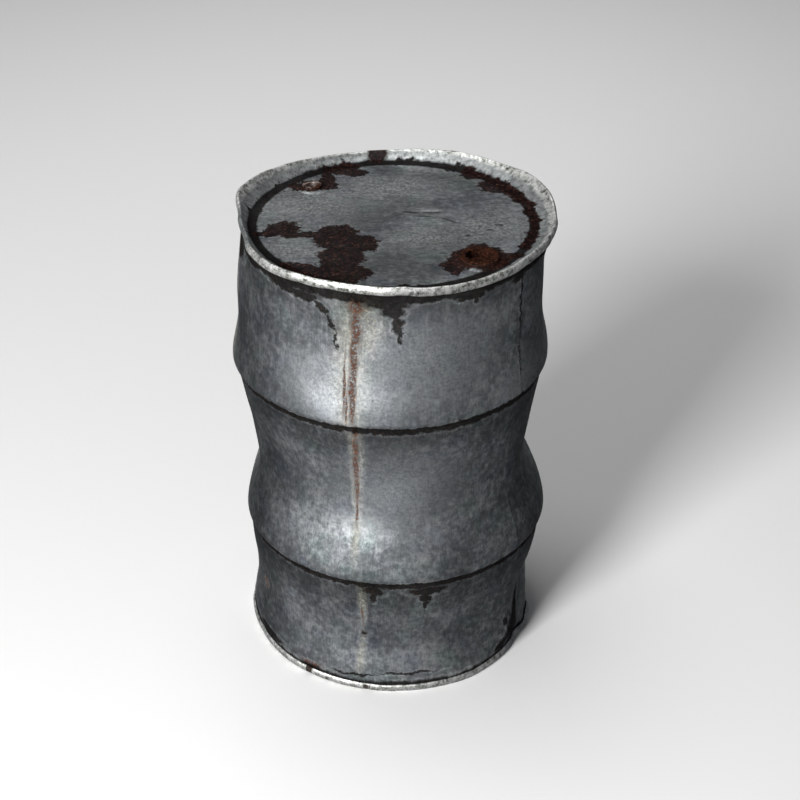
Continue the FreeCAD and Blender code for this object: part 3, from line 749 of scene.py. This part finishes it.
# broad flats and bulges of the wall, where it has been squeezed and dropped
WALL_KNOCKS = [  # azimuth, height, push inwards, grip, reach
    (-90, 846, 5, 30, 60), (-90, 765, -4, 40, 70), (-90, 668, 4, 30, 60),
    (-90, 475, -5, 40, 70), (-90, 372, 7, 30, 60), (-90, 320, 2, 30, 50),
    (90, 760, 5, 60, 90), (90, 705, 3, 30, 60), (90, 530, 9, 40, 60), (90, 485, 6, 40, 60),
    (90, 400, 10, 50, 80), (90, 345, 3, 30, 60), (90, 150, 5, 40, 80), (80, 70, 15, 45, 90),
    (35, 700, 3, 30, 120), (-40, 505, 3, 30, 110), (20, 430, -3, 30, 120), (-25, 180, 3, 20, 90),
    (150, 720, 6, 30, 120), (-150, 480, 7, 20, 110), (175, 300, 5, 40, 120), (-120, 160, 6, 20, 90),
    (130, 520, 4, 20, 80), (-165, 790, 4, 20, 80), (110, 200, 5, 20, 80),
]
wall_radius = {height: radius for radius, height in SHELL_WALL[6:-6]}
for azimuth, height, inwards, grip, reach in WALL_KNOCKS:
    level = min(wall_radius, key=lambda known: abs(known - height))
    hit = place_at(azimuth, wall_radius[level], height)
    knock(lambda point: (point - hit).length < grip, push_at(azimuth, inwards, 0), reach)

# the panel's shallow hollows, and the buckle that crosses its middle
PANEL_KNOCKS = [  # x, y, push down, grip, reach
    (-60, 60, 2.0, 30, 110), (60, -110, 1.5, 30, 90), (110, 90, -1.5, 20, 80),
    (20, 47, 1.6, 5, 15), (40, 42, 1.6, 5, 15), (60, 39, 1.8, 5, 15), (80, 34, 1.6, 5, 15),
    (96, 20, 1.4, 5, 15), (112, 2, 1.2, 5, 15), (48, 60, -1.0, 6, 18), (74, 56, -1.0, 6, 18),
    (66, 16, -1.0, 6, 16), (86, 8, -0.9, 6, 16),
]
for x, y, down, grip, reach in PANEL_KNOCKS:
    hit = Vector((x, y, DRUM_HEIGHT - PANEL_DEPTH))
    knock(lambda point: (point - hit).length < grip, (0, 0, -down), reach)

# the bent chimes: how far each stretch of rim stands outwards and upwards of a true circle
RIM_STEP = 15
TOP_RIM = [  # outwards and upwards, every 15 degrees from the front round to the right
    (0, 5), (-1, 1), (0, 0), (0, 0), (1, 3), (5, 2), (10, 1), (11, 12), (11, 13), (5, 8), (3, 9), (1, 5),
    (0, 1), (-1, 0), (1, 3), (4, 7), (8, 12), (10, 14), (-4, 4), (-14, 1), (-1, 5), (1, 3), (0, 6), (0, 7),
]
BOTTOM_RIM = [
    (0, -2), (0, -1), (1, -1), (-5, 1), (-13, 0), (-25, 0), (-25, 1), (-9, 1), (0, 0), (3, 1), (2, 2), (0, 0),
    (-2, 1), (0, 0), (2, 2), (0, 1), (-3, 0), (-1, 1), (-3, 0), (-5, 1), (-4, 2), (-2, 1), (-1, 1), (0, 0),
]
RIM_STROKES = 72
STROKE_SHARE = 0.76  # neighbouring strokes overlap, and this makes their sum the stated push


def eased(table, azimuth):
    """The table's pair of pushes at an azimuth, eased from one entry to the next."""
    place = azimuth / RIM_STEP
    before = int(place) % len(table)
    after = (before + 1) % len(table)
    share = (1 - math.cos(math.pi * (place % 1))) / 2
    return [low + (high - low) * share for low, high in zip(table[before], table[after])]


for rim, height in ((TOP_RIM, 872), (BOTTOM_RIM, 8)):
    for stroke in range(RIM_STROKES):
        azimuth = stroke * 360 / RIM_STROKES
        outwards, upwards = eased(rim, azimuth)
        knock(
            lambda point: abs(point.z - height) < 9 and math.hypot(point.x, point.y) > 284
            and abs((azimuth_of(point) - azimuth + 180) % 360 - 180) < 1.25,
            push_at(azimuth, -outwards, upwards) * STROKE_SHARE,
            34,
        )

# small dings along both rims and over the wall, each a few centimetres across
dings = random.Random(23)
for height, count in ((872, 34), (8, 22)):
    for ding in range(count):
        azimuth = 360 * (ding + dings.uniform(-0.4, 0.4)) / count
        inwards, upwards = dings.uniform(-0.8, 2.2), dings.uniform(-1.6, 1.6)
        knock(
            lambda point: abs(point.z - height) < 9 and math.hypot(point.x, point.y) > 268
            and abs((azimuth_of(point) - azimuth + 180) % 360 - 180) < 1.3,
            push_at(azimuth, inwards, upwards if height > 100 else 0),
            17,
        )
for ding in range(26):
    azimuth, height = dings.uniform(-180, 180), dings.uniform(90, 800)
    level = min(wall_radius, key=lambda known: abs(known - height))
    hit = place_at(azimuth, wall_radius[level], height)
    knock(lambda point: (point - hit).length < 12, push_at(azimuth, dings.uniform(0.8, 2.6), 0), 48)

# every knock is made, so the sheets get their finer mesh, their thickness and their smooth shading
for piece in SHEETS:
    bpy.ops.object.select_all(action="DESELECT")
    piece.select_set(True)
    bpy.context.view_layer.objects.active = piece
    for modifier in list(piece.modifiers):
        modifier.show_viewport = True
        bpy.ops.object.modifier_apply(modifier=modifier.name)
    bpy.ops.object.shade_smooth_by_angle(angle=math.radians(40))
for tool in (cutters[0], pressings[0]):
    bpy.data.objects.remove(tool)


# ---------------------------------------------------------------------------------------------
# The two bungs
# Each closes a filling hole: a zinc-plated steel flange clinched into the head, and a cup-shaped
# screwed plug with two lugs for the bung wrench, long since rusted.
# ---------------------------------------------------------------------------------------------

# Rusted zinc plate: crusts of dark brown with orange grains, bare grey only where a tool has rubbed.
def rusted_closure(name, bare_share):
    """The finish of one bung; bare_share is how much of it still shows metal."""
    material, tree, shader = new_material(name)
    spot = place_in_mm(tree)
    grain = add(tree, "ShaderNodeTexNoise", {"Vector": spot, "Scale": 1 / 5, "Detail": 6, "Roughness": 0.78})
    crust = add(tree, "ShaderNodeTexNoise", {"Vector": spot, "Scale": 1 / 16, "Detail": 4, "Roughness": 0.65})
    rust_colour = add(
        tree, "ShaderNodeValToRGB", {"Fac": grain},
        [(0.28, "#0a0605"), (0.44, "#1c100c"), (0.58, "#3c2117"), (0.74, "#805639")],
    )
    bare_colour = add(
        tree, "ShaderNodeValToRGB", {"Fac": grain}, [(0.3, "#5d5450"), (0.6, "#b8a9a2"), (0.8, "#e8ddd8")]
    )
    rust = add(
        tree, "ShaderNodeMapRange",
        {"Value": crust, "From Min": bare_share - 0.05, "From Max": bare_share + 0.03},
    )
    colour = cover(tree, rust, 1.0, bare_colour, rust_colour)
    finish_surface(tree, shader, colour, rust, rust, grain)
    return material


large_finish = rusted_closure("rusted_zinc_plated_bung_steel", 0.3)
small_finish = rusted_closure("rusted_worn_bung_steel", 0.46)
for node, finish in (
    ("large_bung_flange", large_finish), ("large_bung_plug", large_finish),
    ("small_bung_flange", large_finish), ("small_bung_plug", small_finish),
):
    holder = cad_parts[node]
    holder.data.materials.clear()
    holder.data.materials.append(finish)

# Old sealing rubber: matt black gone brown and dusty, with fine crazing.
gasket_rubber, tree, shader = new_material("perished_nitrile_rubber")
spot = add(tree, "ShaderNodeTexCoord").outputs["Object"]
crazing = add(
    tree, "ShaderNodeTexNoise", {"Vector": spot, "Scale": 1 / (3 * MM), "Detail": 4, "Roughness": 0.7}
)
rubber_colour = add(
    tree, "ShaderNodeValToRGB", {"Fac": crazing}, [(0.35, "#111010"), (0.55, "#25211e"), (0.75, "#4a4038")]
)
tree.links.new(rubber_colour.outputs["Color"], shader.inputs["Base Color"])
shader.inputs["Roughness"].default_value = 0.8
bump = add(tree, "ShaderNodeBump", {"Strength": 0.4, "Distance": 0.3 * MM, "Height": crazing})
tree.links.new(bump.outputs["Normal"], shader.inputs["Normal"])
for node in ("large_flange_washer", "large_bung_gasket", "small_flange_washer", "small_bung_gasket"):
    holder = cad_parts[node]
    holder.data.materials.clear()
    holder.data.materials.append(gasket_rubber)
